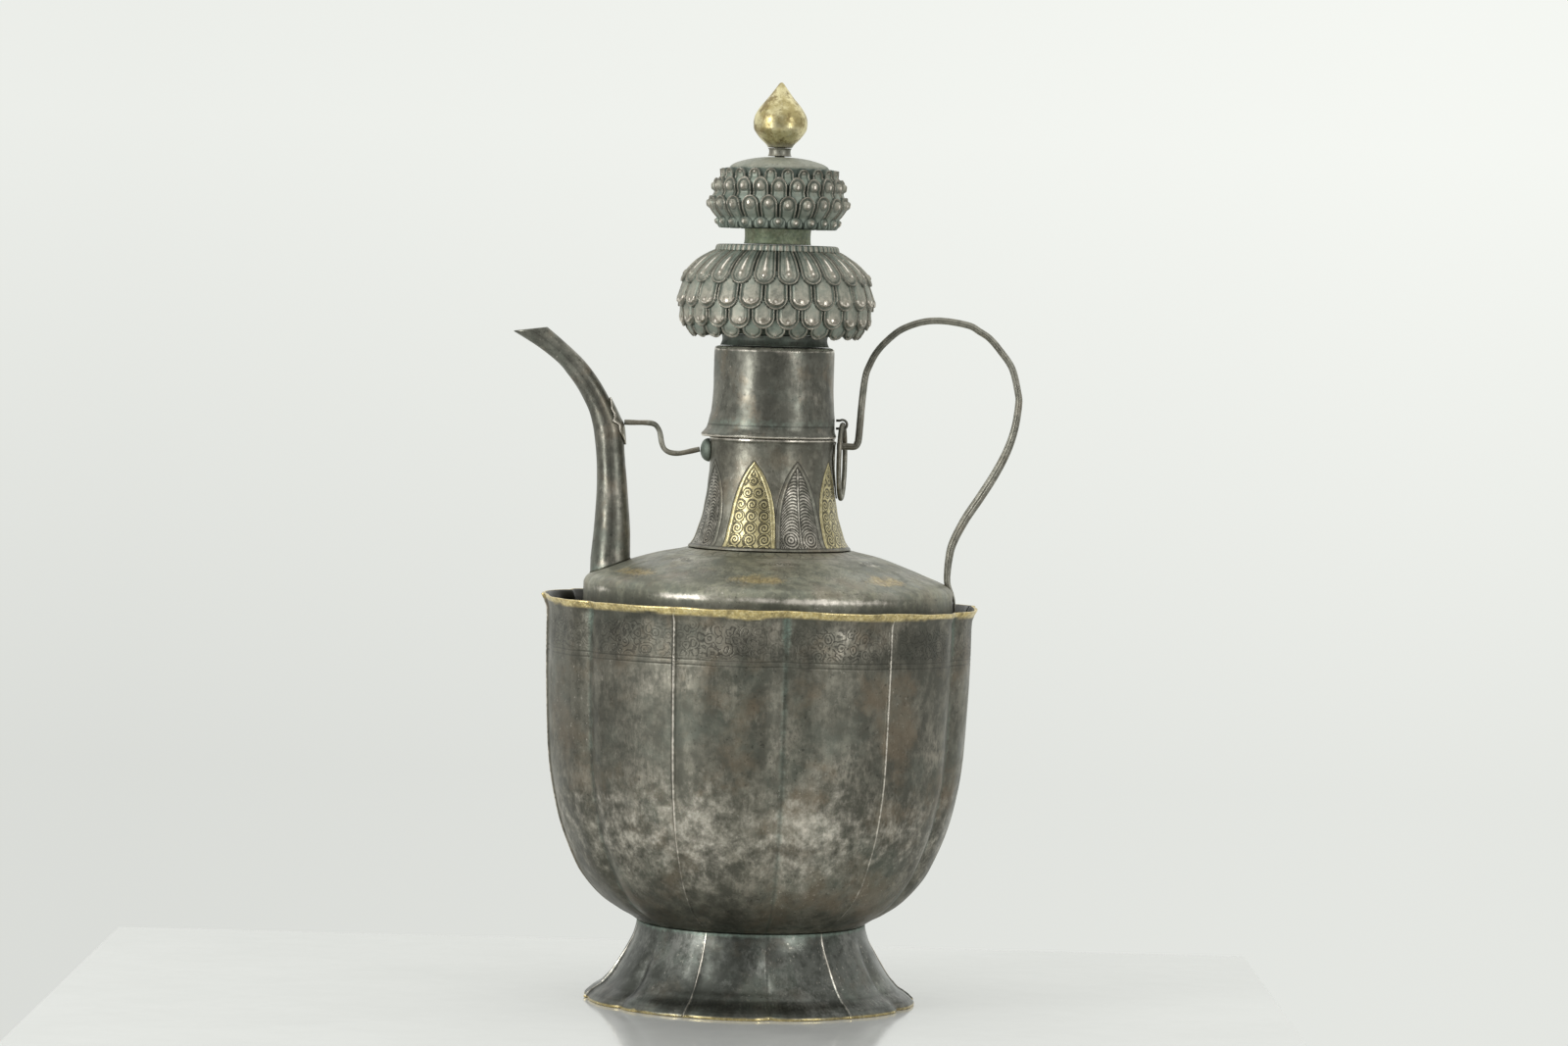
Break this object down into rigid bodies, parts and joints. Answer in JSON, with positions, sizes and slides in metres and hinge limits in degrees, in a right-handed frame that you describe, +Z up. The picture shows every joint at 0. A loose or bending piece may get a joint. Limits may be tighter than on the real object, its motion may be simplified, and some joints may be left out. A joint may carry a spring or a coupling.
{
  "type": "warming pot",
  "caption": "Long-necked ewer with a lotus-tier lid, thin curved spout and looped handle, standing loose in a lobed warming bowl on a flared foot.",
  "frame": {"origin": "on the table, midway between the spout's tip and the handle's farthest point; the bowl's axis is 1.3 mm towards the spout from it", "axes": "+Z up, +X from the spout towards the handle, -Y towards the viewer in the picture"},
  "size_m": [0.2144, 0.1838, 0.3848],
  "materials": {
    "silver": "tarnished silver, worn bright in places",
    "dark_silver": "dark tarnished silver with worn ridges and a gilt edge",
    "lotus_silver": "silver with green-grey patina in the recesses",
    "gilt_silver": "rubbed gilt"
  },
  "bodies": {
    "bowl": {"bowl_shell": "dark_silver", "bowl_foot": "dark_silver"},
    "pot": {"pot_body": "silver", "pot_foot_ring": "silver", "pot_shoulder": "silver", "neck": "silver", "mouth_collar": "silver", "spout": "silver", "spout_saddle": "silver", "strut_wire": "silver", "strut_boss": "silver", "handle": "silver", "handle_neck_plate": "silver"},
    "lid": {"lid_cap": "silver", "lid_band": "lotus_silver", "lower_lotus": "lotus_silver", "waist_ring": "lotus_silver", "upper_lotus": "lotus_silver", "lid_dome": "lotus_silver", "finial_stem": "lotus_silver", "finial_bud": "gilt_silver", "lid_eye": "dark_silver"},
    "link": {"lid_link": "dark_silver"}
  },
  "joints": [
    {"name": "pot_lift", "type": "slide", "parent": "bowl", "child": "pot", "axis": [0, 0, 1], "range_m": [0, 0.15]},
    {"name": "lid_lift", "type": "slide", "parent": "pot", "child": "lid", "axis": [0, 0, 1], "range_m": [0, 0.017]},
    {"name": "link_swing", "type": "hinge", "parent": "lid", "child": "link", "pos_m": [0.0316, 0, 0.24255], "axis": [0, -1, 0], "range_deg": [0, 95]}
  ]
}
